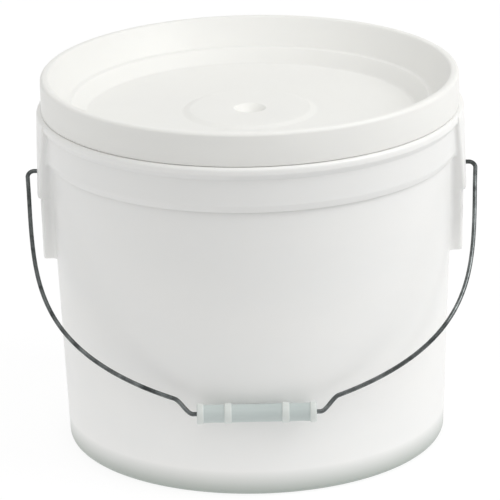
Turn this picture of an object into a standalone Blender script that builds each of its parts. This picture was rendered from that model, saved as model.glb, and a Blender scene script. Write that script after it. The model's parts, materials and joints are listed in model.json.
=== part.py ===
"""A round plastic pail with a snap-on lid, a swinging wire bail and a plastic grip.

Units are metres, +Z is up, and the origin is the centre of the underside. The bail hangs
forward, towards -Y, with its grip against the front of the pail. Depths are measured down
from the crest of the lid, and the other rings are offsets from the lid's skirt, so a taller
or a wider pail keeps the same rim, collar and ears.
"""

import math

import bmesh
import bpy
from mathutils import Vector

# ---- driving sizes ------------------------------------------------------------------
HEIGHT = 0.2763           # underside to the crest of the lid
LID_R = 0.1525            # outer radius of the lid's skirt
FACETS = 64               # sides of every large turned part
GAP = 0.0003              # between pieces that touch

# lid
LID_WALL = 0.0018
CREST_WIDTH = 0.0070      # skirt to the inner edge of the crest
CREST_OUT_ROUND = 0.0042
CREST_FLAT = 0.0003
SKIRT_DEPTH = 0.0243
SKIRT_EDGE = 0.0006
SNAP_HEIGHT = 0.0004      # bead inside the skirt, which grips under the pail's rim
SNAP_DROP = 0.0080        # top of the pail's rim down to that bead
SNAP_HALF = 0.0010
LEDGE_IN = 0.0200         # skirt to the outer edge of the stacking ledge
LEDGE_DEPTH = 0.0194
LEDGE_WIDTH = 0.0028
LEDGE_FALL = 0.0008
LEDGE_ROUND = 0.0009
PANEL_IN = 0.0320         # skirt to the edge of the sunk middle panel
PANEL_DEPTH = 0.0297
PANEL_ROUND = 0.0028
BOSS_TOP_R = 0.0440       # the raised round in the middle of the panel
BOSS_FOOT_R = 0.0490
BOSS_RISE = 0.0017
DIMPLE_R = 0.0117
DIMPLE_DEPTH = 0.0030
GASKET_HEIGHT = 0.0022

# pail
WALL = 0.0022
FLOOR = 0.0025
TAPER = 0.0392            # radius lost for each unit of height
BODY_IN = 0.0046          # skirt in to the wall's outer face
RIM_INNER_GAP = 0.0007    # rim to the inner side of the lid's channel
LIP_HEIGHT = 0.0050       # the part of the rim that the lid's bead grips under
LIP_STEP = 0.0006
BEAD_OUT = 0.0025         # skirt out to the stop ring's face
BEAD_HEIGHT = 0.00945
BEAD_ROUND = 0.0034
BEAD_WEB = 0.0040         # solid top of the stop ring, hollow below
COLLAR_IN = 0.0007        # skirt in to the collar's face
COLLAR_WALL = 0.0018
COLLAR_LOW_DEPTH = 0.0589
HEM_HEIGHT = 0.0050
FOOT_ROUND = 0.0048
FOOT_RING_WIDTH = 0.0100
FOOT_RECESS = 0.0015
FOOT_PAD_R = 0.0260

# bail's axis, and the ears that carry it
PIVOT_DEPTH = 0.0730
EAR_TOP_OUT = 0.0034      # skirt out to the upper face, at its top and at the step
EAR_STEP_OUT = 0.0049
EAR_LOWER_OUT = 0.0028    # skirt out to the lower face, at the step and at its end
EAR_END_OUT = 0.0020
EAR_WALL = 0.0020
EAR_EDGE = 0.0010
EAR_STEP_DROP = 0.0138    # bail's axis down to the step between the two faces
EAR_LOW_DROP = 0.0632
EAR_HALF_TOP = 0.0420     # half widths at the stop ring, the step and the lower end
EAR_HALF_STEP = 0.0240
EAR_HALF_LOW = 0.0150
EAR_SKIN = 0.0002         # left on the pail's wall inside an ear
HOLE_FACETS = 24

# bail
WIRE_D = 0.0032
WIRE_CLEAR = 0.0004       # round the wire, in the ears and in the grip
BAIL_REACH = 0.2021       # axis to the middle of the grip
ARM_GAP = 0.0054          # ear's face to the wire beside it
BOW_PAST_GRIP = 0.0026    # how far past the grip the bow's outline would close
BOW_LEAN = 0.0515         # half span lost for each unit of reach
BOW_DEPTH_POWER = 4.25    # the bow's outline is a superellipse that leans in
BOW_SIDE_POWER = 1.31
BOW_START = 0.0168
BOW_STEPS = 19
BOW_CROWDING = 0.35       # how much its points crowd towards the grip
ARM_CORNER_R = 0.0048
TAIL_LENGTH = 0.0080      # turned-over end that keeps the wire in its ear
TAIL_BEND = 0.0022
TAIL_GAP = 0.0009
JOGGLE_GAP = 0.0025       # straight wire past each end of the grip
JOGGLE_LENGTH = 0.0135    # where the wire steps down from the bow to the grip

# grip
GRIP_LENGTH = 0.0850
GRIP_R = 0.0065
FLANGE_RISE = 0.0009
FLANGE_WIDTH = 0.0042
INNER_FLANGE_X = 0.0205   # middle of the grip to the middle of an inner flange
GRIP_EDGE = 0.0007
GRIP_FACETS = 32
GRIP_WALL_GAP = 0.0006    # grip to the pail's wall at rest

# ---- places worked out from them ------------------------------------------------------
SKIRT_LOW_Z = HEIGHT - SKIRT_DEPTH
CREST_IN_R = LID_R - CREST_WIDTH
CREST_IN_ROUND = CREST_WIDTH - CREST_OUT_ROUND - CREST_FLAT
CHANNEL_OUT_R = LID_R - LID_WALL
CHANNEL_IN_R = CREST_IN_R + LID_WALL
CHANNEL_TOP_Z = HEIGHT - LID_WALL
CHANNEL_CHAMFER = (CREST_OUT_ROUND - LID_WALL) / 2
LEDGE_OUT_R = LID_R - LEDGE_IN
LEDGE_IN_R = LEDGE_OUT_R - LEDGE_WIDTH
LEDGE_Z = HEIGHT - LEDGE_DEPTH
PANEL_R = LID_R - PANEL_IN
PANEL_Z = HEIGHT - PANEL_DEPTH
BOSS_Z = PANEL_Z + BOSS_RISE
GASKET_TOP_Z = CHANNEL_TOP_Z - GAP
GASKET_LOW_Z = GASKET_TOP_Z - GASKET_HEIGHT
RIM_OUT_R = CHANNEL_OUT_R - SNAP_HEIGHT - GAP
RIM_IN_R = CHANNEL_IN_R + RIM_INNER_GAP
RIM_TOP_Z = GASKET_LOW_Z - GAP
BODY_TOP_R = LID_R - BODY_IN
BEAD_R = LID_R + BEAD_OUT
BEAD_TOP_Z = SKIRT_LOW_Z - 2 * GAP
BEAD_LOW_Z = BEAD_TOP_Z - BEAD_HEIGHT
COLLAR_R = LID_R - COLLAR_IN
COLLAR_LOW_Z = HEIGHT - COLLAR_LOW_DEPTH
PIVOT_Z = HEIGHT - PIVOT_DEPTH
EAR_TOP_R = LID_R + EAR_TOP_OUT
EAR_STEP_R = LID_R + EAR_STEP_OUT
EAR_LOWER_R = LID_R + EAR_LOWER_OUT
EAR_END_R = LID_R + EAR_END_OUT
EAR_STEP_Z = PIVOT_Z - EAR_STEP_DROP
EAR_LOW_Z = PIVOT_Z - EAR_LOW_DROP
EAR_FLARE = (EAR_STEP_R - EAR_TOP_R) / (BEAD_TOP_Z - EAR_STEP_Z)
EAR_PIVOT_R = EAR_STEP_R - EAR_FLARE * EAR_STEP_DROP
WIRE_R = WIRE_D / 2
BORE_R = WIRE_R + WIRE_CLEAR
ARM_X = EAR_PIVOT_R + ARM_GAP + WIRE_R
TAIL_X = EAR_PIVOT_R - EAR_WALL - TAIL_GAP - WIRE_R
BOW_CLOSE = BAIL_REACH + BOW_PAST_GRIP
JOGGLE_END_X = GRIP_LENGTH / 2 + JOGGLE_GAP
JOGGLE_START_X = JOGGLE_END_X + JOGGLE_LENGTH
FLANGE_R = GRIP_R + FLANGE_RISE


def body_radius(z):
    """Outer radius of the pail's wall, which is straight behind the collar."""
    return BODY_TOP_R - TAPER * max(0.0, COLLAR_LOW_Z - z)


def bail_lean_angle():
    """Angle from straight down at which the grip's flanges meet the pail's wall."""
    low, high = math.radians(10), math.radians(85)
    for _ in range(60):
        angle = (low + high) / 2
        z = PIVOT_Z - BAIL_REACH * math.cos(angle)
        nearest = BAIL_REACH * math.sin(angle) - FLANGE_R - GRIP_WALL_GAP
        if nearest > body_radius(z):
            high = angle
        else:
            low = angle
    return angle


BAIL_ANGLE = bail_lean_angle()

# ---- scene ----------------------------------------------------------------------------
for old in list(bpy.data.objects):
    bpy.data.objects.remove(old, do_unlink=True)

parts = bpy.data.collections.new("lidded_pail")
cutters = bpy.data.collections.new("pail_cutters")
for collection in (parts, cutters):
    bpy.context.scene.collection.children.link(collection)


def material(name, colour, roughness, metallic=0.0):
    made = bpy.data.materials.new(name)
    made.use_nodes = True
    shader = made.node_tree.nodes["Principled BSDF"]
    shader.inputs["Base Color"].default_value = (*colour, 1.0)
    shader.inputs["Roughness"].default_value = roughness
    shader.inputs["Metallic"].default_value = metallic
    return made


def new_object(name, mesh, collection, finish=None):
    made = bpy.data.objects.new(name, mesh)
    collection.objects.link(made)
    if finish:
        mesh.materials.append(finish)
    if collection is cutters:
        made.hide_render = True
        made.display_type = 'WIRE'
    return made


def turned(name, profile, facets, collection, finish=None, closed=False):
    """Screw a profile of (radius, z) points, which runs down its outer side."""
    mesh = bpy.data.meshes.new(name)
    count = len(profile)
    edges = [(i, i + 1) for i in range(count - 1)]
    if closed:
        edges.append((count - 1, 0))
    mesh.from_pydata([(r, 0.0, z) for r, z in profile], edges, [])
    made = new_object(name, mesh, collection, finish)
    screw = made.modifiers.new("turn", 'SCREW')
    screw.steps = screw.render_steps = facets
    screw.use_merge_vertices = True
    screw.merge_threshold = 0.00005
    screw.use_smooth_shade = True
    return made


def arc(centre, radius, start, end, steps):
    """Points on a circle in the (radius, z) plane, angles in degrees."""
    angles = [math.radians(start + (end - start) * i / steps) for i in range(steps + 1)]
    return [(centre[0] + radius * math.cos(a), centre[1] + radius * math.sin(a)) for a in angles]


def boolean(target, cutter, operation):
    step = target.modifiers.new(operation.lower(), 'BOOLEAN')
    step.object = cutter
    step.operation = operation
    return step


# ---- pail -------------------------------------------------------------------------------
def pail_inside():
    """From the centre of the inner floor, up the wall, to the top of the rim."""
    floor_z = FOOT_RECESS + FLOOR
    corner = FOOT_ROUND - WALL
    low_r = body_radius(floor_z) - WALL
    wall_r = BODY_TOP_R - WALL
    web_z = BEAD_TOP_Z - BEAD_WEB
    rim_edge = (RIM_OUT_R - RIM_IN_R) / 3
    points = [(0.0, floor_z)]
    points += arc((low_r - corner, floor_z + corner), corner, -90, 0, 3)
    points += [(wall_r, COLLAR_LOW_Z), (wall_r, web_z - WALL / 2), (RIM_IN_R, web_z + WALL)]
    points += [(RIM_IN_R, RIM_TOP_Z - rim_edge), (RIM_IN_R + rim_edge, RIM_TOP_Z)]
    points += [(RIM_OUT_R - rim_edge, RIM_TOP_Z), (RIM_OUT_R, RIM_TOP_Z - rim_edge)]
    return points


def pail_collar():
    """From the rim's lip, over the stop ring, down the collar and up behind it."""
    neck_r = RIM_OUT_R - LIP_STEP
    lip_z = RIM_TOP_Z - LIP_HEIGHT
    ring_r = BEAD_R - BEAD_ROUND
    hollow_r = BEAD_R - WALL
    web_z = BEAD_TOP_Z - BEAD_WEB
    behind_r = COLLAR_R - COLLAR_WALL
    hem = COLLAR_WALL / 3
    points = [(RIM_OUT_R, lip_z), (neck_r, lip_z - LIP_STEP), (neck_r, BEAD_TOP_Z - GAP)]
    points += arc((ring_r, BEAD_TOP_Z - BEAD_ROUND), BEAD_ROUND, 90, 0, 4)
    points += arc((ring_r, BEAD_LOW_Z + BEAD_ROUND), BEAD_ROUND, 0, -60, 3)
    points += [(COLLAR_R, BEAD_LOW_Z - 2 * GAP), (COLLAR_R, COLLAR_LOW_Z + HEM_HEIGHT)]
    points += arc((COLLAR_R - hem - GAP, COLLAR_LOW_Z + hem), hem, 0, -180, 4)
    points += [(behind_r, COLLAR_LOW_Z + HEM_HEIGHT), (behind_r, BEAD_LOW_Z)]
    points += [(hollow_r, BEAD_LOW_Z + hollow_r - behind_r), (hollow_r, web_z)]
    points += [(BODY_TOP_R, web_z), (BODY_TOP_R, COLLAR_LOW_Z)]
    return points


def pail_foot():
    """From the foot's rounding, over the foot ring, to the pad in the middle."""
    low_r = body_radius(FOOT_ROUND)
    ring_in_r = low_r - FOOT_ROUND - FOOT_RING_WIDTH
    points = arc((low_r - FOOT_ROUND, FOOT_ROUND), FOOT_ROUND, 0, -90, 5)
    points += [(ring_in_r, 0.0), (ring_in_r - FOOT_RECESS, FOOT_RECESS)]
    points += [(FOOT_PAD_R + FOOT_RECESS, FOOT_RECESS), (FOOT_PAD_R, 0.0), (0.0, 0.0)]
    return points


def ear_half_width(z):
    """Half width of an ear at a height; the outline narrows in two stages."""
    if z > EAR_STEP_Z:
        share = (z - EAR_STEP_Z) / (BEAD_TOP_Z - EAR_STEP_Z)
        return EAR_HALF_STEP + share * (EAR_HALF_TOP - EAR_HALF_STEP)
    share = (z - EAR_LOW_Z) / (EAR_STEP_Z - EAR_LOW_Z)
    return EAR_HALF_LOW + share * (EAR_HALF_STEP - EAR_HALF_LOW)


def ear_outline(name, inset, low_z):
    """A block through both sides of the pail, with the ears' outline seen along X."""
    points = [(ear_half_width(z) - inset, z) for z in (BEAD_TOP_Z, EAR_STEP_Z, low_z)]
    points += [(-y, z) for y, z in reversed(points)]
    half = 1.1 * EAR_STEP_R
    bm = bmesh.new()
    face = bm.faces.new([bm.verts.new((-half, y, z)) for y, z in points])
    grown = bmesh.ops.extrude_face_region(bm, geom=[face])
    moved = [v for v in grown["geom"] if isinstance(v, bmesh.types.BMVert)]
    bmesh.ops.translate(bm, verts=moved, vec=Vector((2 * half, 0.0, 0.0)))
    bmesh.ops.recalc_face_normals(bm, faces=bm.faces)
    mesh = bpy.data.meshes.new(name)
    bm.to_mesh(mesh)
    bm.free()
    return new_object(name, mesh, cutters)


def ear_blocks():
    """The two ears' outer shape, rooted in the pail's wall."""
    top_z = BEAD_TOP_Z - EAR_EDGE
    root = WALL / 2
    block = [(BODY_TOP_R - root, top_z), (EAR_TOP_R - EAR_EDGE, top_z)]
    block += [(EAR_TOP_R, top_z - EAR_EDGE), (EAR_STEP_R, EAR_STEP_Z)]
    block += [(EAR_LOWER_R, EAR_STEP_Z), (EAR_END_R, EAR_LOW_Z)]
    block += [(body_radius(EAR_LOW_Z) - root, EAR_LOW_Z)]
    ears = turned("ear_blocks", block, FACETS, cutters, closed=True)
    boolean(ears, ear_outline("ear_shape", 0.0, EAR_LOW_Z - EAR_WALL), 'INTERSECT')
    return ears


def ear_hollows():
    """The space inside the ears, open below, where the bail's ends turn."""
    roof_z = BEAD_LOW_Z - EAR_EDGE
    open_z = EAR_LOW_Z - 2 * EAR_WALL
    step_z = EAR_STEP_Z + EAR_WALL
    space = [(BODY_TOP_R + EAR_SKIN, roof_z), (EAR_TOP_R - EAR_WALL, roof_z)]
    space += [(EAR_STEP_R - EAR_WALL, step_z), (EAR_LOWER_R - EAR_WALL, step_z)]
    space += [(EAR_END_R - EAR_WALL, open_z), (body_radius(open_z) + EAR_SKIN, open_z)]
    space += [(BODY_TOP_R + EAR_SKIN, COLLAR_LOW_Z)]
    hollows = turned("ear_hollows", space, FACETS, cutters, closed=True)
    boolean(hollows, ear_outline("ear_space", EAR_WALL, open_z - EAR_WALL), 'INTERSECT')
    return hollows


def wire_hole(side):
    """Cutter for the hole in one ear, on the bail's axis."""
    bm = bmesh.new()
    bmesh.ops.create_cone(bm, cap_ends=True, segments=HOLE_FACETS, radius1=BORE_R, radius2=BORE_R,
                          depth=3 * EAR_WALL)
    mesh = bpy.data.meshes.new("wire_hole")
    bm.to_mesh(mesh)
    bm.free()
    hole = new_object("wire_hole", mesh, cutters)
    hole.rotation_euler = (0.0, math.radians(90), 0.0)
    hole.location = (side * (EAR_PIVOT_R - EAR_WALL / 2), 0.0, PIVOT_Z)
    return hole


def make_pail():
    finish = material("white_pail_plastic", (0.78, 0.80, 0.81), 0.38)
    profile = pail_inside() + pail_collar() + pail_foot()
    pail = turned("pail", profile, FACETS, parts, finish)
    boolean(pail, ear_blocks(), 'UNION')
    boolean(pail, ear_hollows(), 'DIFFERENCE')
    for side in (-1, 1):
        boolean(pail, wire_hole(side), 'DIFFERENCE')


# ---- lid ----------------------------------------------------------------------------------
def lid_top():
    """Upper surface, from the middle of the panel out to the lower edge of the skirt."""
    dimple_z = BOSS_Z - DIMPLE_DEPTH
    points = [(0.0, dimple_z), (DIMPLE_R / 2, dimple_z + DIMPLE_DEPTH / 5), (DIMPLE_R, BOSS_Z)]
    points += [(BOSS_TOP_R, BOSS_Z), (BOSS_FOOT_R, PANEL_Z)]
    points += [(PANEL_R - PANEL_ROUND, PANEL_Z), (PANEL_R, PANEL_Z + PANEL_ROUND / 3)]
    points += [(LEDGE_IN_R - LEDGE_ROUND, LEDGE_Z - LEDGE_FALL - LEDGE_ROUND)]
    points += [(LEDGE_IN_R, LEDGE_Z - LEDGE_FALL), (LEDGE_OUT_R, LEDGE_Z)]
    points += [(LEDGE_OUT_R + LEDGE_ROUND, LEDGE_Z + LEDGE_ROUND)]
    points += arc((CREST_IN_R + CREST_IN_ROUND, HEIGHT - CREST_IN_ROUND), CREST_IN_ROUND, 145, 90, 3)
    points += arc((LID_R - CREST_OUT_ROUND, HEIGHT - CREST_OUT_ROUND), CREST_OUT_ROUND, 90, 0, 5)
    points += [(LID_R, SKIRT_LOW_Z + SKIRT_EDGE), (LID_R - SKIRT_EDGE, SKIRT_LOW_Z)]
    return points


def lid_under():
    """Lower surface, from the skirt's lower edge back to the middle of the panel."""
    half = LID_WALL / 2
    snap_z = RIM_TOP_Z - SNAP_DROP
    points = [(CHANNEL_OUT_R + GAP, SKIRT_LOW_Z), (CHANNEL_OUT_R, SKIRT_LOW_Z + SKIRT_EDGE)]
    points += [(CHANNEL_OUT_R, snap_z - SNAP_HALF), (CHANNEL_OUT_R - SNAP_HEIGHT, snap_z)]
    points += [(CHANNEL_OUT_R, snap_z + SNAP_HALF), (CHANNEL_OUT_R, CHANNEL_TOP_Z - CHANNEL_CHAMFER)]
    points += [(CHANNEL_OUT_R - CHANNEL_CHAMFER, CHANNEL_TOP_Z)]
    points += [(CHANNEL_IN_R + GAP, CHANNEL_TOP_Z), (CHANNEL_IN_R, CHANNEL_TOP_Z - GAP)]
    points += [(LEDGE_OUT_R + LID_WALL, LEDGE_Z - half)]
    points += [(LEDGE_OUT_R, LEDGE_Z - LID_WALL), (LEDGE_IN_R + half, LEDGE_Z - LEDGE_FALL - LID_WALL)]
    points += [(PANEL_R + half, PANEL_Z - LID_WALL), (BOSS_FOOT_R, PANEL_Z - LID_WALL)]
    points += [(BOSS_TOP_R, BOSS_Z - LID_WALL), (DIMPLE_R + LID_WALL, BOSS_Z - LID_WALL)]
    dimple_z = BOSS_Z - DIMPLE_DEPTH - LID_WALL
    points += [(DIMPLE_R / 2 + half, dimple_z + DIMPLE_DEPTH / 5), (0.0, dimple_z)]
    return points


def make_lid():
    finish = material("white_lid_plastic", (0.82, 0.82, 0.81), 0.42)
    turned("lid", lid_top() + lid_under(), FACETS, parts, finish)


def make_gasket():
    """A soft ring that fills the top of the lid's channel."""
    finish = material("grey_gasket_rubber", (0.62, 0.62, 0.60), 0.75)
    inner_r, outer_r = CHANNEL_IN_R + GAP, CHANNEL_OUT_R - GAP
    ring = [(inner_r + GAP, GASKET_TOP_Z), (outer_r - CHANNEL_CHAMFER, GASKET_TOP_Z)]
    ring += [(outer_r, GASKET_TOP_Z - CHANNEL_CHAMFER), (outer_r, GASKET_LOW_Z)]
    ring += [(inner_r, GASKET_LOW_Z), (inner_r, GASKET_TOP_Z - GAP)]
    turned("lid_gasket", ring, FACETS, parts, finish, closed=True)


# ---- bail -----------------------------------------------------------------------------------
def bow_half_width(reach):
    """Half width of the bow at a distance from the bail's axis."""
    closing = 1 - (reach / BOW_CLOSE) ** BOW_DEPTH_POWER
    return (ARM_X - BOW_LEAN * reach) * closing ** (1 / BOW_SIDE_POWER)


def bow_reach(half_width):
    """Distance from the axis at which the bow has a half width."""
    low, high = 0.0, BOW_CLOSE
    for _ in range(50):
        middle = (low + high) / 2
        if bow_half_width(middle) > half_width:
            low = middle
        else:
            high = middle
    return low


def tail_and_corner():
    """Points (x, reach) of the turned-over end, the way through the ear, and the corner."""
    points = [(TAIL_X, -TAIL_LENGTH)]
    points += arc((TAIL_X + TAIL_BEND, -TAIL_BEND), TAIL_BEND, 180, 90, 2)
    points += arc((ARM_X - ARM_CORNER_R, ARM_CORNER_R), ARM_CORNER_R, -90, 0, 4)
    return points


def bow(end):
    """Points of the bow, from just past the corner to a reach where the joggle begins."""
    points = []
    for step in range(1, BOW_STEPS + 1):
        share = step / BOW_STEPS
        eased = (1 - BOW_CROWDING) * share + BOW_CROWDING * math.sin(math.radians(90) * share)
        reach = BOW_START + (end - BOW_START) * eased
        points.append((bow_half_width(reach), reach))
    return points


def joggle(start):
    """Points of the step down to the grip's line, smooth where it leaves the bow."""
    small = BAIL_REACH / 1000
    slope = small / (bow_half_width(start - small) - JOGGLE_START_X)
    points = []
    steps = 6
    for step in range(1, steps + 1):
        t = step / steps
        x = JOGGLE_START_X - JOGGLE_LENGTH * t
        rise = (BAIL_REACH - start) * t * t * (3 - 2 * t)
        lead = slope * JOGGLE_LENGTH * t * (1 - t) ** 2
        points.append((x, start + rise + lead))
    return points


def make_bail():
    finish = material("zinc_wire", (0.50, 0.51, 0.52), 0.32, 1.0)
    joggle_reach = bow_reach(JOGGLE_START_X)
    side = tail_and_corner() + bow(joggle_reach) + joggle(joggle_reach)
    route = [(-x, reach) for x, reach in side] + [(x, reach) for x, reach in reversed(side)]
    down, out = math.cos(BAIL_ANGLE), math.sin(BAIL_ANGLE)
    curve = bpy.data.curves.new("bail_wire", 'CURVE')
    curve.dimensions = '3D'
    curve.bevel_depth = WIRE_R
    curve.bevel_resolution = 2
    curve.use_fill_caps = True
    spline = curve.splines.new('POLY')
    spline.points.add(len(route) - 1)
    for point, (x, reach) in zip(spline.points, route):
        point.co = (x, -reach * out, -reach * down, 1.0)
    curve.materials.append(finish)
    bail = bpy.data.objects.new("bail_wire", curve)
    bail.location = (0.0, 0.0, PIVOT_Z)
    parts.objects.link(bail)


# ---- grip -----------------------------------------------------------------------------------
def grip_profile():
    """Half of the grip's outline along its axis, mirrored to make the whole."""
    half = GRIP_LENGTH / 2
    inner_a, inner_b = INNER_FLANGE_X - FLANGE_WIDTH / 2, INNER_FLANGE_X + FLANGE_WIDTH / 2
    outer_a = half - FLANGE_WIDTH
    side = [(GRIP_R, inner_a - GRIP_EDGE), (FLANGE_R, inner_a), (FLANGE_R, inner_b)]
    side += [(GRIP_R, inner_b + GRIP_EDGE), (GRIP_R, outer_a - GRIP_EDGE), (FLANGE_R, outer_a)]
    side += [(FLANGE_R, half - GRIP_EDGE), (FLANGE_R - GRIP_EDGE, half)]
    outside = [(r, z) for r, z in reversed(side)] + [(r, -z) for r, z in side]
    return outside + [(BORE_R, -half), (BORE_R, half)]


def make_grip():
    finish = material("white_grip_plastic", (0.74, 0.77, 0.80), 0.45)
    grip = turned("bail_grip", grip_profile(), GRIP_FACETS, parts, finish, closed=True)
    grip.rotation_euler = (0.0, math.radians(90), 0.0)
    out, down = BAIL_REACH * math.sin(BAIL_ANGLE), BAIL_REACH * math.cos(BAIL_ANGLE)
    grip.location = (0.0, -out, PIVOT_Z - down)


make_pail()
make_lid()
make_gasket()
make_bail()
make_grip()
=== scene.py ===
"""Looks of the lidded pail: fine surfaces, materials, floor, light and camera.

Metres, +Z up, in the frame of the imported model: the pail stands on z = 0 and the bail hangs
towards -Y. Overall places come from the model's boxes, and details are offsets from them.
"""
import json
import math

import bmesh
import bpy
from mathutils import Matrix, Vector


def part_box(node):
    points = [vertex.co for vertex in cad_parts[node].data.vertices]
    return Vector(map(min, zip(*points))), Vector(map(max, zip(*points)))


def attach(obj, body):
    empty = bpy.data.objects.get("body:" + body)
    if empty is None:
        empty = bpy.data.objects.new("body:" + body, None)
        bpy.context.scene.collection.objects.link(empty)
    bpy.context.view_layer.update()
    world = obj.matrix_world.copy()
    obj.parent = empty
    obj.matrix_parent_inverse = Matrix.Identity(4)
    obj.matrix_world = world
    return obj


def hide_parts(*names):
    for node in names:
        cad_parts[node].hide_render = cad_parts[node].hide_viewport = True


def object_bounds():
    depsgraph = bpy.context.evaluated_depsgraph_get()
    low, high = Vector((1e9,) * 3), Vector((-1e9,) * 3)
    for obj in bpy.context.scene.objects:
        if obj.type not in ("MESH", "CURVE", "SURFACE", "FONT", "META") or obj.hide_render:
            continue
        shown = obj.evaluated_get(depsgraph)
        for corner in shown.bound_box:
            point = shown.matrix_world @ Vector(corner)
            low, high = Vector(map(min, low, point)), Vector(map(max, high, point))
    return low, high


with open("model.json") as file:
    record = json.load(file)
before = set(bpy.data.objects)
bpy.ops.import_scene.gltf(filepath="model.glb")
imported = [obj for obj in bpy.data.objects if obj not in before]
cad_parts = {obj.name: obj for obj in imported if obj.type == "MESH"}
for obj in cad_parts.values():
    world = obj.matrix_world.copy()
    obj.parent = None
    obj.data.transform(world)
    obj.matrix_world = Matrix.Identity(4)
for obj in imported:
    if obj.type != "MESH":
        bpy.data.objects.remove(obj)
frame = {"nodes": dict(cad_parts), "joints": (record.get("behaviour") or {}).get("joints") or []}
cad_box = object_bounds()

# ---- camera -----------------------------------------------------------------------------
CAMERA_TARGET = Vector((-0.002335, 0.0, 0.13842))
CAMERA_DISTANCE = 3.0
CAMERA_ELEVATION = 19.01
CAMERA_ROLL = -1.255
CAMERA_LENS = 292.46
SENSOR_WIDTH = 36

# ---- places read from the model -----------------------------------------------------------
LID_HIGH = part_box("lid")[1]
GASKET_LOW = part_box("lid_gasket")[0]
WIRE_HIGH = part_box("bail_wire")[1]
GRIP_LOW, GRIP_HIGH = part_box("bail_grip")
PIVOT_Z = next(j["pos_m"][2] for j in frame["joints"] if j["name"] == "bail_swing")
CREST_Z = LID_HIGH.z
LID_R = LID_HIGH.x
GRIP_CENTRE = (GRIP_LOW + GRIP_HIGH) / 2
GRIP_HALF = (GRIP_HIGH.x - GRIP_LOW.x) / 2
GRIP_FLANGE_R = (GRIP_HIGH.z - GRIP_LOW.z) / 2
BAIL_REACH = math.hypot(GRIP_CENTRE.y, PIVOT_Z - GRIP_CENTRE.z)
BAIL_ANGLE = math.atan2(-GRIP_CENTRE.y, PIVOT_Z - GRIP_CENTRE.z)

# ---- sizes shared by several pieces ---------------------------------------------------------
GAP = 0.0003
RING_SEGMENTS = 240
ARC_STEP = 12.0
MOULD_EDGE = 0.0003
WIRE_R = 0.0016
WIRE_CLEAR = 0.0004
RIM_SIDE_GAP = 0.0007

# ---- lid: depths below the crest, and offsets from the skirt's radius -------------------------
LID_WALL = 0.0018
SKIRT_LOW_Z = CREST_Z - 0.0246
SKIRT_EDGE = 0.0012
SKIRT_BEVEL = 0.0002
CHANNEL_TOP_Z = CREST_Z - LID_WALL
CHANNEL_OUT_R = LID_R - LID_WALL
CREST_IN_R = LID_R - 0.0070
CREST_OUT_ROUND = 0.0041
CREST_IN_ROUND = 0.0024
RECESS_SLOPE = 0.0013
CHANNEL_IN_R = CREST_IN_R + LID_WALL
CHANNEL_ROUND = 0.0022
LEDGE_OUT_R = LID_R - 0.0200
LEDGE_IN_R = LID_R - 0.0228
LEDGE_Z = CREST_Z - 0.0194
LEDGE_LOW_Z = CREST_Z - 0.0202
LEDGE_OUT_ROUND = 0.0022
LEDGE_IN_ROUND = 0.0009
PANEL_R = LID_R - 0.0320
PANEL_Z = CREST_Z - 0.0297
PANEL_ROUND = 0.0036
BOSS_TOP_R = 0.0440
BOSS_FOOT_R = 0.0490
BOSS_Z = PANEL_Z + 0.0017
BOSS_ROUND = 0.0060
DIMPLE_R = 0.0117
DIMPLE_FLOOR_R = 0.0058
DIMPLE_Z = BOSS_Z - 0.0055
DIMPLE_EDGE = 0.0012
DIMPLE_ROUND = 0.0030
GATE_TOP_R = 0.0009
GATE_FOOT_R = 0.0014
GATE_RISE = 0.0006
SNAP_DROP = 0.0080
SNAP_HALF = 0.0010
SNAP_HEIGHT = 0.0004
SNAP_ROUND = 0.0004
UNDER_LEDGE_ROUND = 0.0010
UNDER_PANEL_ROUND = 0.0030
UNDER_BOSS_ROUND = 0.0040
UNDER_DIMPLE_R = DIMPLE_FLOOR_R + 0.0014
UNDER_DIMPLE_EDGE = 0.0016
LID_ARC_STEP = 9.0

# ---- pail ---------------------------------------------------------------------------------------
WALL = 0.0022
WALL_BEND = 0.0020
FLOOR = 0.0025
FLOOR_ROUND = 0.0050
TAPER = 0.0392
BODY_R = LID_R - 0.0046
BODY_BLEND = 0.0100
RIM_TOP_Z = GASKET_LOW.z - GAP
RIM_OUT_R = CHANNEL_OUT_R - RIM_SIDE_GAP
RIM_IN_R = CHANNEL_IN_R + RIM_SIDE_GAP
RIM_ROUND = 0.0008
LIP_HEIGHT = 0.0050
LIP_STEP = 0.0006
NECK_ROUND = 0.0006
BEAD_R = LID_R + 0.0025
BEAD_TOP_Z = CREST_Z - 0.0249
BEAD_LOW_Z = BEAD_TOP_Z - 0.00945
BEAD_TOP_ROUND = 0.0030
BEAD_LOW_ROUND = 0.0020
BEAD_SLOPE = 0.0042
BEAD_TOE = 0.0002
WEB_DEPTH = 0.0040
WEB_ROUND = 0.0012
HOLLOW_ROUND = 0.0015
HOLLOW_TOP_ROUND = 0.0010
COLLAR_R = LID_R - 0.0007
COLLAR_WALL = 0.0018
COLLAR_TOP_ROUND = 0.0010
COLLAR_LOW_Z = CREST_Z - 0.0589
COLLAR_SLOPE = 0.0050
COLLAR_TURN_IN = 0.0020
COLLAR_BACK_TURN_IN = 0.0014
COLLAR_BEND = 0.0030
FOOT_ROUND = 0.0048
FOOT_RING_WIDTH = 0.0100
FOOT_RECESS = 0.0015
FOOT_PAD_R = 0.0260
FOOT_EDGE = 0.0005

# ---- painted shade round the foot, and the glowing table, as places in the scene ---------------
FOOT_SHADE_HEIGHT = 0.019
FOOT_SHADE_IN_R = 0.128
FOOT_SHADE_OUT_R = 0.136
TABLE_DIM_Y = -0.50
TABLE_BRIGHT_Y = -0.24
TABLE_SIZE = 4.0

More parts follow.
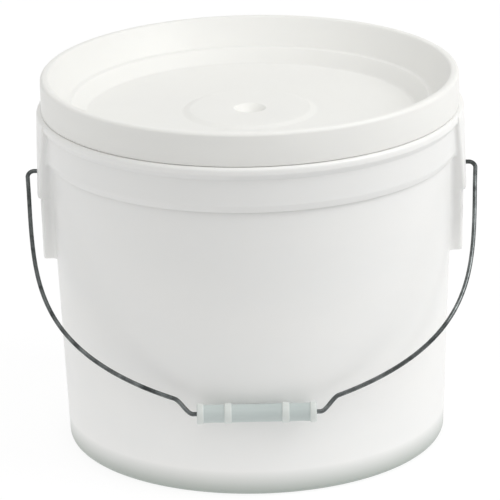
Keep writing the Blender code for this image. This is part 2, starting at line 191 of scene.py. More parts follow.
# ---- ears ----------------------------------------------------------------------------------------
EAR_WALL = 0.0020
EAR_TOP_R = LID_R + 0.0034
EAR_STEP_R = LID_R + 0.0049
EAR_LOWER_R = LID_R + 0.0028
EAR_END_R = LID_R + 0.0020
EAR_STEP_Z = PIVOT_Z - 0.0138
EAR_LOW_Z = PIVOT_Z - 0.0632
EAR_TOP_Z = BEAD_TOP_Z - 0.0006
EAR_HALF_TOP = 0.0420
EAR_HALF_STEP = 0.0240
EAR_HALF_LOW = 0.0150
EAR_CORNER = 0.0024
EAR_ROOT = 0.0040
EAR_EDGE = 0.0008
EAR_TOP_ROUND = 0.0016
EAR_SUNK = 0.0010
EAR_LEAST_DEPTH = 0.0010
EAR_CUT_BELOW = 0.0060
EAR_CUT_SPLIT = 0.0001
EAR_ROOF = 0.0010
EAR_STEP_RISE = 0.0002
EAR_SKIN = 0.0002

# ---- bail ----------------------------------------------------------------------------------------
ARM_X = WIRE_HIGH.x - WIRE_R
ARM_CORNER_R = 0.0048
BOW_CLOSE = BAIL_REACH + 0.0026
BOW_LEAN = 0.0515
BOW_DEPTH_POWER = 4.25
BOW_SIDE_POWER = 1.31
BOW_START = 0.0168
BOW_STEPS = 90
BOW_CROWDING = 0.35
TAIL_LENGTH = 0.0080
TAIL_STRAIGHT = 0.0050
TAIL_BEND = 0.0022
TAIL_GAP = 0.0009
JOGGLE_END_X = GRIP_HALF + 0.0025
JOGGLE_LENGTH = 0.0135
JOGGLE_START_X = JOGGLE_END_X + JOGGLE_LENGTH
JOGGLE_STEPS = 24

# ---- grip ----------------------------------------------------------------------------------------
GRIP_R = GRIP_FLANGE_R - 0.0009
GRIP_WAIST_R = GRIP_R - 0.00015
GRIP_BORE_R = WIRE_R + WIRE_CLEAR
GRIP_BORE_BEVEL = 0.0006
GRIP_MOUTH_ROUND = 0.0004
GRIP_BORE_ROUND = 0.0002
GRIP_END_ROUND = 0.0012
GRIP_WAIST_BLEND = 0.0300
GRIP_END_WAIST_BLEND = 0.0200
GRIP_SEGMENTS = 120
GRIP_ARC_STEP = 15.0
GRIP_TURN = 35
INNER_FLANGE_X = 0.0205
FLANGE_WIDTH = 0.0042
FLANGE_SLOPE = 0.0007
FLANGE_ROUND = 0.0007
FLANGE_FOOT_ROUND = 0.0006
PARTING_RISE = 0.00010
PARTING_HALF_ANGLE = 2.0


# ---- shapes -----------------------------------------------------------------------------
def rounded(corners, step_angle=ARC_STEP):
    """Points of an outline of (x, y, radius) corners, each corner with its own rounding.

    A rounding takes no more than 0.48 of the straight on either side of it.
    """
    points = []
    for i, (x, y, radius) in enumerate(corners):
        if radius <= 0 or i in (0, len(corners) - 1):
            points.append((x, y))
            continue
        here = Vector((x, y))
        back = Vector(corners[i - 1][:2]) - here
        ahead = Vector(corners[i + 1][:2]) - here
        turn = math.pi - back.angle(ahead)
        if turn < 0.01:
            points.append((x, y))
            continue
        reach = min(radius * math.tan(turn / 2), 0.48 * back.length, 0.48 * ahead.length)
        true_radius = reach / math.tan(turn / 2)
        start = here + back.normalized() * reach
        end = here + ahead.normalized() * reach
        middle = (back.normalized() + ahead.normalized()).normalized()
        centre = here + middle * math.hypot(reach, true_radius)
        steps = max(1, math.ceil(math.degrees(turn) / step_angle))
        first = start - centre
        last = end - centre
        sweep = math.atan2(first.x * last.y - first.y * last.x, first.dot(last))
        for s in range(steps + 1):
            spun = Matrix.Rotation(sweep * s / steps, 2) @ first
            points.append(tuple(centre + spun))
    return points


def arc(centre, radius, start, end, steps):
    """Points of an arc between two angles in degrees."""
    angles = [math.radians(start + (end - start) * i / steps) for i in range(steps + 1)]
    return [(centre[0] + radius * math.cos(a), centre[1] + radius * math.sin(a)) for a in angles]


def between(low, high, share):
    return low + share * (high - low)


def link(obj):
    bpy.context.scene.collection.objects.link(obj)
    return obj


def to_object(bm, name, finish):
    mesh = bpy.data.meshes.new(name)
    bm.to_mesh(mesh)
    bm.free()
    mesh.materials.append(finish)
    return link(bpy.data.objects.new(name, mesh))


def turned(name, profile, finish, segments=RING_SEGMENTS, closed=False, radius_shift=None):
    """Turn (radius, z) points about Z; points on the axis become a single vertex."""
    bm = bmesh.new()
    rings = []
    for r, z in profile:
        if r < 1e-6:
            rings.append([bm.verts.new((0.0, 0.0, z))])
            continue
        ring = []
        for s in range(segments):
            a = 2 * math.pi * s / segments
            shifted = r + (radius_shift(r, a) if radius_shift else 0.0)
            ring.append(bm.verts.new((shifted * math.cos(a), shifted * math.sin(a), z)))
        rings.append(ring)
    pairs = list(zip(rings, rings[1:]))
    if closed:
        pairs.append((rings[-1], rings[0]))
    for upper, lower in pairs:
        for s in range(segments):
            t = (s + 1) % segments
            if len(upper) == 1 and len(lower) > 1:
                bm.faces.new((upper[0], lower[s], lower[t]))
            elif len(lower) == 1 and len(upper) > 1:
                bm.faces.new((upper[s], lower[0], upper[t]))
            elif len(upper) > 1:
                bm.faces.new((upper[s], lower[s], lower[t], upper[t]))
    bmesh.ops.recalc_face_normals(bm, faces=bm.faces)
    return to_object(bm, name, finish)


def loft(name, sections, finish):
    """Skin closed outlines of equal length, given as lists of 3D points, and cap both ends."""
    bm = bmesh.new()
    rings = [[bm.verts.new(p) for p in section] for section in sections]
    count = len(rings[0])
    for lower, upper in zip(rings, rings[1:]):
        for i in range(count):
            j = (i + 1) % count
            bm.faces.new((lower[i], lower[j], upper[j], upper[i]))
    bm.faces.new(rings[0])
    bm.faces.new(rings[-1])
    bmesh.ops.recalc_face_normals(bm, faces=bm.faces)
    return to_object(bm, name, finish)


def evaluated_mesh(obj):
    depsgraph = bpy.context.evaluated_depsgraph_get()
    return bpy.data.meshes.new_from_object(obj.evaluated_get(depsgraph))


def boolean(target, cutter, operation):
    step = target.modifiers.new(operation.lower(), 'BOOLEAN')
    step.object = cutter
    step.operation = operation
    step.solver = 'EXACT'


def hand_over(obj, node, body, sharp_angle=32.0):
    """Smooth a finished piece, and put it in the place of a node of the model."""
    obj.data.shade_smooth()
    obj.data.set_sharp_from_angle(angle=math.radians(sharp_angle))
    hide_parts(node)
    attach(obj, body)


# ---- materials ----------------------------------------------------------------------------
class Nodes:
    """A material's node tree, with a short way to add and join its nodes."""

    def __init__(self, name):
        self.material = bpy.data.materials.new(name)
        self.material.use_nodes = True
        self.tree = self.material.node_tree
        self.shader = self.tree.nodes["Principled BSDF"]
        self.coordinates = self.add("ShaderNodeTexCoord").outputs["Object"]

    def add(self, kind, **values):
        """Add a node and set its properties, or the inputs that have those names."""
        node = self.tree.nodes.new(kind)
        for key, value in values.items():
            if hasattr(node, key):
                setattr(node, key, value)
            else:
                node.inputs[key].default_value = value
        return node

    def join(self, out, into):
        self.tree.links.new(out, into)

    def drive(self, socket, out):
        self.join(out, self.shader.inputs[socket])

    def fix(self, socket, value):
        self.shader.inputs[socket].default_value = value

    def mapped(self, location=(0.0, 0.0, 0.0), scale=(1.0, 1.0, 1.0)):
        """The object's coordinates, moved and stretched."""
        node = self.add("ShaderNodeMapping", Location=location, Scale=scale)
        self.join(self.coordinates, node.inputs["Vector"])
        return node.outputs["Vector"]

    def axis(self, letter):
        node = self.add("ShaderNodeSeparateXYZ")
        self.join(self.coordinates, node.inputs["Vector"])
        return node.outputs[letter]

    def distance(self, location, scale):
        """Distance from an axis; the scale is 0 along it."""
        node = self.add("ShaderNodeVectorMath", operation='LENGTH')
        self.join(self.mapped(location, scale), node.inputs[0])
        return node.outputs["Value"]

    def noise(self, scale, detail=3.0, roughness=0.5, stretch=None):
        node = self.add("ShaderNodeTexNoise", Scale=scale, Detail=detail, Roughness=roughness)
        source = self.mapped(scale=stretch) if stretch else self.coordinates
        self.join(source, node.inputs["Vector"])
        return node.outputs["Fac"]

    def span(self, value, low, high, from_low=0.3, from_high=0.7):
        """Map from_low..from_high to low..high, held at both ends."""
        node = self.add("ShaderNodeMapRange")
        for socket, number in zip(("From Min", "From Max", "To Min", "To Max"),
                                  (from_low, from_high, low, high)):
            node.inputs[socket].default_value = number
        self.join(value, node.inputs["Value"])
        return node.outputs["Result"]

    def product(self, first, second):
        node = self.add("ShaderNodeMath", operation='MULTIPLY')
        self.join(first, node.inputs[0])
        self.join(second, node.inputs[1])
        return node.outputs[0]

    def blend(self, factor, first, second):
        """Mix two colours, each a tuple or another node's output, at its colour sockets A and B."""
        node = self.add("ShaderNodeMix", data_type='RGBA')
        self.join(factor, node.inputs["Factor"])
        for socket, colour in ((6, first), (7, second)):
            if isinstance(colour, tuple):
                node.inputs[socket].default_value = (*colour, 1.0)
            else:
                self.join(colour, node.inputs[socket])
        return node.outputs[2]

    def bump(self, height, strength, distance, after=None):
        node = self.add("ShaderNodeBump", Strength=strength, Distance=distance)
        self.join(height, node.inputs["Height"])
        if after:
            self.join(after, node.inputs["Normal"])
        return node.outputs["Normal"]


def flowed_colour(n, colour, tint):
    """Moulded colour: broad flow marks, and small scuffs that are a little darker."""
    flow = n.span(n.noise(9.0, 4.0, 0.55, (1.0, 1.0, 2.2)), 0.0, 1.0)
    scuff = n.span(n.noise(260.0, 6.0, 0.75, (1.0, 1.0, 0.25)), 0.0, 0.35, 0.64, 0.80)
    worn = tuple(0.93 * c for c in colour)
    return n.blend(scuff, n.blend(flow, colour, tint), worn)


def painted_foot_shade(n, surface, colour):
    """Painted shade: a darker band round the foot, fading upwards and kept off the underside."""
    upwards = n.span(n.axis("Z"), 1.0, 0.0, 0.0, FOOT_SHADE_HEIGHT)
    away = n.distance((0.0, 0.0, 0.0), (1.0, 1.0, 0.0))
    outwards = n.span(away, 0.0, 1.0, FOOT_SHADE_IN_R, FOOT_SHADE_OUT_R)
    return n.blend(n.product(outwards, upwards), surface, colour)


def painted_flange_highlight(n, surface, colour):
    """Painted highlight: paler flange rims on the grip, by the distance from its axis."""
    away = n.distance((0.0, -GRIP_CENTRE.y, -GRIP_CENTRE.z), (0.0, 1.0, 1.0))
    sheen_mask = n.span(away, 0.0, 1.0, GRIP_R, GRIP_FLANGE_R - 0.0002)
    return n.blend(sheen_mask, surface, colour)


def finish_plastic(n, surface, roughness, glow, peel, grain):
    """Polyolefin: soft light inside it, patchy gloss, a faint wave and fine mould grain."""
    n.drive("Base Color", surface)
    n.drive("Roughness", n.span(n.noise(55.0, 4.0, 0.6), roughness - 0.05, roughness + 0.07))
    wave = n.bump(n.noise(38.0, 2.0, 0.4), peel, 0.0006)
    n.drive("Normal", n.bump(n.noise(1900.0, 2.0, 0.5), grain, 0.00006, wave))
    n.fix("Subsurface Weight", glow)
    n.fix("Subsurface Radius", (1.0, 0.96, 0.9))
    n.fix("Subsurface Scale", 0.006)
    n.fix("Specular IOR Level", 0.45)
    n.fix("IOR", 1.50)
    return n.material


def pail_plastic():
    n = Nodes("pail_plastic")
    surface = flowed_colour(n, (0.885, 0.88, 0.86), (0.86, 0.86, 0.845))
    # Painted shade: the band round the foot is coloured darker to stand in for shade there.
    surface = painted_foot_shade(n, surface, (0.30, 0.34, 0.31))
    return finish_plastic(n, surface, roughness=0.36, glow=0.25, peel=0.10, grain=0.25)


def lid_plastic():
    n = Nodes("lid_plastic")
    surface = flowed_colour(n, (0.885, 0.88, 0.845), (0.865, 0.86, 0.83))
    return finish_plastic(n, surface, roughness=0.42, glow=0.25, peel=0.16, grain=0.35)


def grip_plastic():
    n = Nodes("grip_plastic")
    surface = flowed_colour(n, (0.52, 0.57, 0.56), (0.48, 0.535, 0.525))
    # Painted highlight: the grip's flange rims are coloured paler, by the distance from its axis.
    surface = painted_flange_highlight(n, surface, (0.64, 0.67, 0.65))
    return finish_plastic(n, surface, roughness=0.42, glow=0.15, peel=0.08, grain=0.30)


def zinc_wire():
    """Drawn steel wire under a thin zinc coat: dark and bright patches, fine roughness."""
    n = Nodes("zinc_wire")
    patches = n.span(n.noise(120.0, 5.0, 0.6), 0.0, 1.0)
    n.drive("Base Color", n.blend(patches, (0.045, 0.05, 0.05), (0.20, 0.215, 0.215)))
    n.drive("Roughness", n.span(n.noise(420.0, 3.0, 0.6), 0.14, 0.30))
    n.drive("Normal", n.bump(n.noise(900.0, 4.0, 0.7), 0.25, 0.00008))
    n.fix("Metallic", 1.0)
    return n.material


def gasket_rubber():
    n = Nodes("gasket_rubber")
    n.drive("Base Color", n.blend(n.noise(180.0), (0.58, 0.58, 0.56), (0.66, 0.66, 0.64)))
    n.drive("Normal", n.bump(n.noise(1500.0), 0.3, 0.0001))
    n.fix("Roughness", 0.75)
    return n.material


# ---- pail -----------------------------------------------------------------------------------
def body_radius(z):
    """Outer radius of the pail's wall, straight behind the collar and tapered below."""
    return BODY_R - TAPER * max(0.0, COLLAR_LOW_Z - z)


def pail_profile():
    """Inner floor, wall, rim, stop ring, collar, outer wall, foot ring and underside."""
    floor_z = FOOT_RECESS + FLOOR
    web_z = BEAD_TOP_Z - WEB_DEPTH
    lip_low_z = RIM_TOP_Z - LIP_HEIGHT
    neck_r = RIM_OUT_R - LIP_STEP
    behind_r = COLLAR_R - COLLAR_WALL
    hollow_r = BEAD_R - WALL
    foot_r = body_radius(0.0)
    ring_in_r = foot_r - FOOT_ROUND - FOOT_RING_WIDTH
    return rounded([
        (0.0, floor_z, 0),
        (body_radius(floor_z) - WALL, floor_z, FLOOR_ROUND),
        (BODY_R - WALL, COLLAR_LOW_Z, 0),
        (BODY_R - WALL, web_z - WALL / 2, WALL_BEND),
        (RIM_IN_R, web_z + WALL, WALL_BEND),
        (RIM_IN_R, RIM_TOP_Z, RIM_ROUND),
        (RIM_OUT_R, RIM_TOP_Z, RIM_ROUND),
        (RIM_OUT_R, lip_low_z, MOULD_EDGE),
        (neck_r, lip_low_z - LIP_STEP, MOULD_EDGE),
        (neck_r, BEAD_TOP_Z, NECK_ROUND),
        (BEAD_R, BEAD_TOP_Z, BEAD_TOP_ROUND),
        (BEAD_R, BEAD_LOW_Z + BEAD_SLOPE, BEAD_LOW_ROUND),
        (COLLAR_R, BEAD_LOW_Z - BEAD_TOE, COLLAR_TOP_ROUND),
        (COLLAR_R, COLLAR_LOW_Z + COLLAR_SLOPE, COLLAR_BEND),
        (COLLAR_R - COLLAR_TURN_IN, COLLAR_LOW_Z, MOULD_EDGE),
        (behind_r - COLLAR_BACK_TURN_IN, COLLAR_LOW_Z, MOULD_EDGE),
        (behind_r, COLLAR_LOW_Z + COLLAR_SLOPE, COLLAR_BEND),
        (behind_r, BEAD_LOW_Z, HOLLOW_ROUND),
        (hollow_r, BEAD_LOW_Z + hollow_r - behind_r, HOLLOW_ROUND),
        (hollow_r, web_z, HOLLOW_TOP_ROUND),
        (BODY_R, web_z, WEB_ROUND),
        (BODY_R, COLLAR_LOW_Z, BODY_BLEND),
        (foot_r, 0.0, FOOT_ROUND),
        (ring_in_r, 0.0, FOOT_EDGE),
        (ring_in_r - FOOT_RECESS, FOOT_RECESS, FOOT_EDGE),
        (FOOT_PAD_R + FOOT_RECESS, FOOT_RECESS, FOOT_EDGE),
        (FOOT_PAD_R, 0.0, FOOT_EDGE),
        (0.0, 0.0, 0),
    ])


def upper_share(z):
    """How far up the ear's upper stage a height is, from 0 at the step."""
    return (z - EAR_STEP_Z) / (BEAD_TOP_Z - EAR_STEP_Z)


def lower_share(z):
    """How far up the ear's lower stage a height is, from 0 at its end."""
    return (z - EAR_LOW_Z) / (EAR_STEP_Z - EAR_LOW_Z)


def ear_half_width(z):
    """Half width of an ear; the outline narrows in two stages."""
    if z > EAR_STEP_Z:
        return between(EAR_HALF_STEP, EAR_HALF_TOP, upper_share(z))
    return between(EAR_HALF_LOW, EAR_HALF_STEP, lower_share(z))


def ear_face_radius(z, upper):
    """Radius of an ear's outer face, on the upper or on the lower stage."""
    if upper:
        return between(EAR_STEP_R, EAR_TOP_R, upper_share(z))
    return between(EAR_END_R, EAR_LOWER_R, lower_share(z))


def wall_radius(z):
    """What an ear grows from: the stop ring, the collar or the wall."""
    if z > BEAD_LOW_Z:
        return between(COLLAR_R, BEAD_R, min(1.0, (z - BEAD_LOW_Z) / BEAD_SLOPE))
    if z > COLLAR_LOW_Z:
        share = min(1.0, (z - COLLAR_LOW_Z) / COLLAR_SLOPE)
        return COLLAR_R - (1 - share) * COLLAR_TURN_IN
    return body_radius(z)


def ear_section(face_r, half, root_r):
    """Outline (x, y) of an ear at one height, closed inside the wall that it grows from."""
    face_steps, corner_steps, root_steps = 8, 5, 6
    depth = face_r - root_r
    corner = min(EAR_CORNER, 0.55 * depth)
    root = min(EAR_ROOT, 0.98 * (depth - corner))
    edge = math.asin(half / face_r)
    flat = edge - corner / face_r
    points = [(face_r, flat * s / face_steps) for s in range(face_steps + 1)]
    for s in range(1, corner_steps + 1):
        a = math.radians(90 * s / corner_steps)
        points.append((face_r - corner * (1 - math.cos(a)),
                       edge - corner / face_r * (1 - math.sin(a))))
    for s in range(root_steps + 1):
        a = math.radians(90 * s / root_steps)
        points.append((root_r + root * (1 - math.sin(a)),
                       edge + root / root_r * (1 - math.cos(a))))
    last = edge + root / root_r + 0.001
    points += [(root_r - EAR_SUNK, last * (1 - s / face_steps)) for s in range(face_steps + 1)]
    mirrored = [(r, -a) for r, a in reversed(points[1:-1])]
    return [(r * math.cos(a), r * math.sin(a)) for r, a in points + mirrored]


def ear_levels():
    """Height, face radius and half width of each of an ear's sections, from its end upwards."""
    edge_steps, lower_steps, upper_steps, top_steps = 3, 13, 16, 4
    levels = []
    for k in range(edge_steps + 1):
        a = math.radians(90 * k / edge_steps)
        z = EAR_LOW_Z + EAR_EDGE * (1 - math.cos(a))
        shrink = EAR_EDGE * (1 - math.sin(a))
        levels.append((z, ear_face_radius(z, False) - shrink, ear_half_width(z) - shrink))
        z = EAR_STEP_Z + EAR_EDGE * (1 - math.cos(a))
        levels.append((z, EAR_STEP_R - shrink, ear_half_width(z)))
    for k in range(1, lower_steps + 1):
        z = EAR_LOW_Z + EAR_EDGE + (EAR_STEP_Z - EAR_LOW_Z - 2 * EAR_EDGE) * k / lower_steps
        levels.append((z, ear_face_radius(z, False), ear_half_width(z)))
    levels.append((EAR_STEP_Z - EAR_STEP_RISE, EAR_LOWER_R + EAR_STEP_RISE, EAR_HALF_STEP))
    straight = EAR_TOP_Z - EAR_TOP_ROUND - EAR_STEP_Z - EAR_EDGE
    for k in range(1, upper_steps + 1):
        z = EAR_STEP_Z + EAR_EDGE + straight * k / upper_steps
        levels.append((z, ear_face_radius(z, True), ear_half_width(z)))
    for k in range(1, top_steps + 1):
        a = math.radians(90 * k / top_steps)
        z = EAR_TOP_Z - EAR_TOP_ROUND * (1 - math.sin(a))
        shrink = EAR_TOP_ROUND * (1 - math.cos(a))
        levels.append((z, ear_face_radius(z, True) - shrink, ear_half_width(z) - shrink))
    for edge_z in (COLLAR_LOW_Z, BEAD_LOW_Z):
        for z in (edge_z - GAP, edge_z + GAP):
            levels.append((z, ear_face_radius(z, True), ear_half_width(z)))
    return sorted(levels)


def make_ear(side):
    """One ear as a closed loft whose root lies inside the pail's wall."""
    sections = []
    for z, face_r, half in ear_levels():
        root_r = min(wall_radius(z), face_r - EAR_LEAST_DEPTH)
        sections.append([(side * x, y, z) for x, y in ear_section(face_r, half, root_r)])
    return loft("ear", sections, PAIL_PLASTIC)


def make_ear_hollow(side):
    """The space inside an ear, open below."""
    steps = 12
    ledge_z = EAR_STEP_Z + EAR_WALL
    heights = [EAR_LOW_Z - EAR_CUT_BELOW, EAR_LOW_Z, ledge_z - EAR_CUT_SPLIT,
               ledge_z + EAR_CUT_SPLIT, COLLAR_LOW_Z, BEAD_LOW_Z - EAR_ROOF]
    sections = []
    for z in heights:
        held = max(z, EAR_LOW_Z)
        face_r = ear_face_radius(held, z > ledge_z) - EAR_WALL
        half = ear_half_width(held) - EAR_WALL
        back_r = body_radius(z) + EAR_SKIN
        span = [half * (2 * s / steps - 1) for s in range(steps + 1)]
        outline = [(math.sqrt(face_r ** 2 - y * y), y) for y in span]
        outline += [(math.sqrt(back_r ** 2 - y * y), y) for y in reversed(span)]
        sections.append([(side * x, y, z) for x, y in outline])
    return loft("ear_hollow", sections, PAIL_PLASTIC)


def make_wire_hole(side):
    """A round rod through an ear's face, to cut the hole for the wire."""
    radius = WIRE_R + WIRE_CLEAR
    face_r = ear_face_radius(PIVOT_Z, True) - EAR_WALL / 2
    bm = bmesh.new()
    bmesh.ops.create_cone(bm, cap_ends=True, segments=48, radius1=radius, radius2=radius,
                          depth=3 * EAR_WALL)
    bmesh.ops.rotate(bm, verts=bm.verts, matrix=Matrix.Rotation(math.radians(90), 3, 'Y'))
    bmesh.ops.translate(bm, verts=bm.verts, vec=Vector((side * face_r, 0.0, PIVOT_Z)))
    return to_object(bm, "wire_hole", PAIL_PLASTIC)


def make_pail():
    pail = turned("pail_body", pail_profile(), PAIL_PLASTIC)
    cutters = []
    for make, operation in ((make_ear, 'UNION'), (make_ear_hollow, 'DIFFERENCE'),
                            (make_wire_hole, 'DIFFERENCE')):
        for side in (-1, 1):
            cutters.append(make(side))
            boolean(pail, cutters[-1], operation)
    mesh = evaluated_mesh(pail)
    pail.modifiers.clear()
    pail.data = mesh
    for cutter in cutters:
        bpy.data.objects.remove(cutter, do_unlink=True)
    hand_over(pail, "pail", "pail")


# ---- lid --------------------------------------------------------------------------------------
def lid_profile():
    """Upper surface from the gate mark out to the skirt, and back underneath."""
    snap_z = RIM_TOP_Z - SNAP_DROP
    return rounded([
        (0.0, DIMPLE_Z + GATE_RISE, 0),
        (GATE_TOP_R, DIMPLE_Z + GATE_RISE, MOULD_EDGE),
        (GATE_FOOT_R, DIMPLE_Z, MOULD_EDGE),
        (DIMPLE_FLOOR_R, DIMPLE_Z, DIMPLE_ROUND),
        (DIMPLE_R, BOSS_Z, DIMPLE_EDGE),
        (BOSS_TOP_R, BOSS_Z, BOSS_ROUND),
        (BOSS_FOOT_R, PANEL_Z, BOSS_ROUND),
        (PANEL_R, PANEL_Z, PANEL_ROUND),
        (LEDGE_IN_R, LEDGE_LOW_Z, LEDGE_IN_ROUND),
        (LEDGE_OUT_R, LEDGE_Z, LEDGE_OUT_ROUND),
        (CREST_IN_R + RECESS_SLOPE, CREST_Z, CREST_IN_ROUND),
        (LID_R, CREST_Z, CREST_OUT_ROUND),
        (LID_R, SKIRT_LOW_Z, SKIRT_EDGE),
        (CHANNEL_OUT_R + SKIRT_BEVEL, SKIRT_LOW_Z, MOULD_EDGE),
        (CHANNEL_OUT_R, snap_z - SNAP_HALF, 0),
        (CHANNEL_OUT_R - SNAP_HEIGHT, snap_z, SNAP_ROUND),
        (CHANNEL_OUT_R, snap_z + SNAP_HALF, 0),
        (CHANNEL_OUT_R, CHANNEL_TOP_Z, CHANNEL_ROUND),
        (CHANNEL_IN_R, CHANNEL_TOP_Z, MOULD_EDGE),
        (LEDGE_OUT_R + 1.1 * LID_WALL, LEDGE_Z - 0.5 * LID_WALL, UNDER_LEDGE_ROUND),
        (LEDGE_IN_R + 0.6 * LID_WALL, LEDGE_LOW_Z - LID_WALL, UNDER_LEDGE_ROUND),
        (PANEL_R + 0.5 * LID_WALL, PANEL_Z - LID_WALL, UNDER_PANEL_ROUND),
        (BOSS_FOOT_R, PANEL_Z - LID_WALL, UNDER_BOSS_ROUND),
        (BOSS_TOP_R, BOSS_Z - LID_WALL, UNDER_BOSS_ROUND),
        (DIMPLE_R + LID_WALL, BOSS_Z - LID_WALL, UNDER_DIMPLE_EDGE),
        (UNDER_DIMPLE_R, DIMPLE_Z - LID_WALL, DIMPLE_ROUND),
        (0.0, DIMPLE_Z - LID_WALL, 0),
    ], LID_ARC_STEP)


def make_lid():
    lid = turned("lid_cover", lid_profile(), LID_PLASTIC)
    hand_over(lid, "lid", "lid")


# ---- bail ---------------------------------------------------------------------------------------
def bow_half_width(reach):
    """Half width of the bow at a distance from the bail's axis."""
    closing = 1 - (reach / BOW_CLOSE) ** BOW_DEPTH_POWER
    return (ARM_X - BOW_LEAN * reach) * closing ** (1 / BOW_SIDE_POWER)


def bow_reach(half_width):
    """Distance from the axis at which the bow has a half width, found by halving."""
    low, high = 0.0, BOW_CLOSE
    for _ in range(50):
        middle = (low + high) / 2
        if bow_half_width(middle) > half_width:
            low = middle
        else:
            high = middle
    return low


def joggle(start_reach):
    """The bend from the bow's end to the grip's line, which leaves along the bow."""
    nearby = 0.0002
    slope = nearby / (bow_half_width(start_reach - nearby) - JOGGLE_START_X)
    points = []
    for step in range(1, JOGGLE_STEPS + 1):
        t = step / JOGGLE_STEPS
        rise = (BAIL_REACH - start_reach) * t * t * (3 - 2 * t)
        lead = slope * JOGGLE_LENGTH * t * (1 - t) ** 2
        points.append((JOGGLE_START_X - JOGGLE_LENGTH * t, start_reach + rise + lead))
    return points


def bail_side():
    """Points (x, reach) of one side: turned-over end, ear, corner, bow and joggle."""
    tail_x = ear_face_radius(PIVOT_Z, True) - EAR_WALL - TAIL_GAP - WIRE_R
    points = [(tail_x, -TAIL_LENGTH), (tail_x, -TAIL_STRAIGHT)]
    points += arc((tail_x + TAIL_BEND, -TAIL_BEND), TAIL_BEND, 180, 90, 10)
    points += arc((ARM_X - ARM_CORNER_R, ARM_CORNER_R), ARM_CORNER_R, -90, 0, 14)
    end = bow_reach(JOGGLE_START_X)
    for step in range(1, BOW_STEPS + 1):
        share = step / BOW_STEPS
        crowded = math.sin(math.radians(90) * share)
        eased = between(share, crowded, BOW_CROWDING)
        reach = between(BOW_START, end, eased)
        points.append((bow_half_width(reach), reach))
    return points + joggle(end)


def make_bail():
    side = bail_side()
    route = [(-x, reach) for x, reach in side] + [(x, reach) for x, reach in reversed(side)]
    down, out = math.cos(BAIL_ANGLE), math.sin(BAIL_ANGLE)
    curve = bpy.data.curves.new("bail_rod", 'CURVE')
    curve.dimensions = '3D'
    curve.bevel_depth = WIRE_R
    curve.bevel_resolution = 6
    curve.use_fill_caps = True
    spline = curve.splines.new('POLY')
    spline.points.add(len(route) - 1)
    for point, (x, reach) in zip(spline.points, route):
        point.co = (x, -reach * out, PIVOT_Z - reach * down, 1.0)
    guide = link(bpy.data.objects.new("bail_guide", curve))
    bm = bmesh.new()
    bm.from_mesh(evaluated_mesh(guide))
    bpy.data.objects.remove(guide, do_unlink=True)
    bmesh.ops.remove_doubles(bm, verts=bm.verts, dist=1e-6)
    bail = to_object(bm, "bail_rod", ZINC_WIRE)
    hand_over(bail, "bail_wire", "bail", 50)


# ---- grip ----------------------------------------------------------------------------------------
def grip_profile():
    """Outline (radius, x) of the tube: barrels between four rounded flanges, both ends open."""
    half, barrel, flange = GRIP_HALF, GRIP_R, GRIP_FLANGE_R
    inner_near = INNER_FLANGE_X - FLANGE_WIDTH / 2
    inner_far = INNER_FLANGE_X + FLANGE_WIDTH / 2
    end_near = half - FLANGE_WIDTH
    right = [
        (GRIP_WAIST_R, 0.0, GRIP_WAIST_BLEND),
        (barrel, inner_near - FLANGE_SLOPE, FLANGE_FOOT_ROUND),
        (flange, inner_near, FLANGE_ROUND),
        (flange, inner_far, FLANGE_ROUND),
        (barrel, inner_far + FLANGE_SLOPE, FLANGE_FOOT_ROUND),
        (GRIP_WAIST_R, (inner_near + half) / 2, GRIP_END_WAIST_BLEND),
        (barrel, end_near - FLANGE_SLOPE, FLANGE_FOOT_ROUND),
        (flange, end_near, FLANGE_ROUND),
        (flange, half, GRIP_END_ROUND),
        (GRIP_BORE_R + GRIP_BORE_BEVEL, half, GRIP_MOUTH_ROUND),
        (GRIP_BORE_R, half - GRIP_BORE_BEVEL, GRIP_BORE_ROUND),
    ]
    left = [(r, -x, radius) for r, x, radius in reversed(right[1:])]
    return rounded(left + right, GRIP_ARC_STEP)


def parting_line(radius, angle):
    """A low ridge outside the bore, where the two halves of the mould met."""
    if radius < GRIP_R - 0.0004:
        return 0.0
    off = abs((angle + math.pi / 2) % math.pi - math.pi / 2)
    return PARTING_RISE if off < math.radians(PARTING_HALF_ANGLE) else 0.0


def make_grip():
    grip = turned("grip_tube", grip_profile(), GRIP_PLASTIC, GRIP_SEGMENTS, True, parting_line)
    along_x = Matrix.Rotation(math.radians(90), 4, 'Y')
    turn = Matrix.Rotation(math.radians(GRIP_TURN), 4, 'X')
    grip.data.transform(Matrix.Translation(GRIP_CENTRE) @ turn @ along_x)
    hand_over(grip, "bail_grip", "grip", 40)


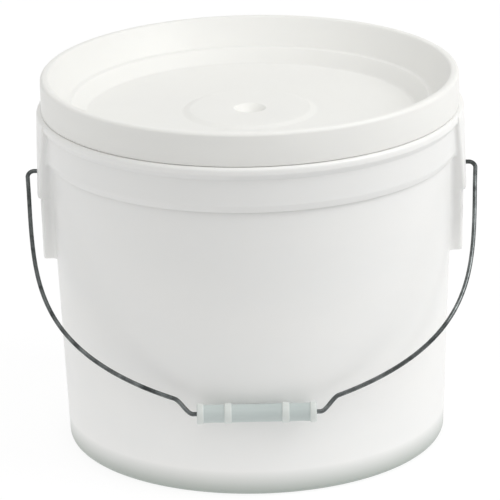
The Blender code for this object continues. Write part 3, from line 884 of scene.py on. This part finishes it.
# ---- studio --------------------------------------------------------------------------------------
def make_camera():
    e, r = math.radians(CAMERA_ELEVATION), math.radians(CAMERA_ROLL)
    forward = Vector((0, math.cos(e), -math.sin(e)))
    up = Vector((0, math.sin(e), math.cos(e)))
    right = Vector((1, 0, 0))
    rolled_right = math.cos(r) * right + math.sin(r) * up
    rolled_up = -math.sin(r) * right + math.cos(r) * up
    data = bpy.data.cameras.new("camera")
    data.sensor_width = SENSOR_WIDTH
    data.lens = CAMERA_LENS
    camera = link(bpy.data.objects.new("camera", data))
    turn = Matrix((rolled_right, rolled_up, -forward)).transposed()
    place = CAMERA_TARGET - forward * CAMERA_DISTANCE
    camera.matrix_world = Matrix.Translation(place) @ turn.to_4x4()
    bpy.context.scene.camera = camera


def softbox(name, place, size, power):
    """A square area light that faces the middle of the pail."""
    middle = Vector((0.0, 0.0, 0.14))
    data = bpy.data.lights.new(name, 'AREA')
    data.energy = power
    data.size = size
    lamp = link(bpy.data.objects.new(name, data))
    lamp.location = place
    lamp.rotation_euler = (Vector(place) - middle).to_track_quat('Z', 'Y').to_euler()


def make_floor():
    """A pale table that glows, so that shadows stay faint, and darkens in front of the pail."""
    n = Nodes("pale_table")
    n.drive("Emission Strength", n.span(n.axis("Y"), 0.40, 0.86, TABLE_DIM_Y, TABLE_BRIGHT_Y))
    n.fix("Base Color", (0.14, 0.14, 0.14, 1.0))
    n.fix("Roughness", 0.9)
    n.fix("Emission Color", (1.0, 1.0, 1.0, 1.0))
    bm = bmesh.new()
    bmesh.ops.create_grid(bm, x_segments=1, y_segments=1, size=TABLE_SIZE)
    floor = to_object(bm, "table", n.material)
    floor.location = (0.0, 0.0, cad_box[0].z - 0.0002)


def make_studio():
    world = bpy.data.worlds.new("studio")
    world.use_nodes = True
    sky = world.node_tree.nodes["Background"]
    sky.inputs["Color"].default_value = (1.0, 1.0, 0.99, 1.0)
    sky.inputs["Strength"].default_value = 0.71
    bpy.context.scene.world = world
    bpy.context.scene.view_settings.view_transform = 'Standard'
    softbox("key", (1.60, -0.55, 1.80), size=1.3, power=22.0)
    softbox("front", (-0.50, -1.50, 2.30), size=1.6, power=6.0)


PAIL_PLASTIC = pail_plastic()
LID_PLASTIC = lid_plastic()
GRIP_PLASTIC = grip_plastic()
ZINC_WIRE = zinc_wire()
GASKET_RUBBER = gasket_rubber()

make_camera()
make_studio()
make_floor()
make_pail()
make_lid()
make_bail()
make_grip()
gasket = frame["nodes"]["lid_gasket"]
gasket.data.materials.clear()
gasket.data.materials.append(GASKET_RUBBER)
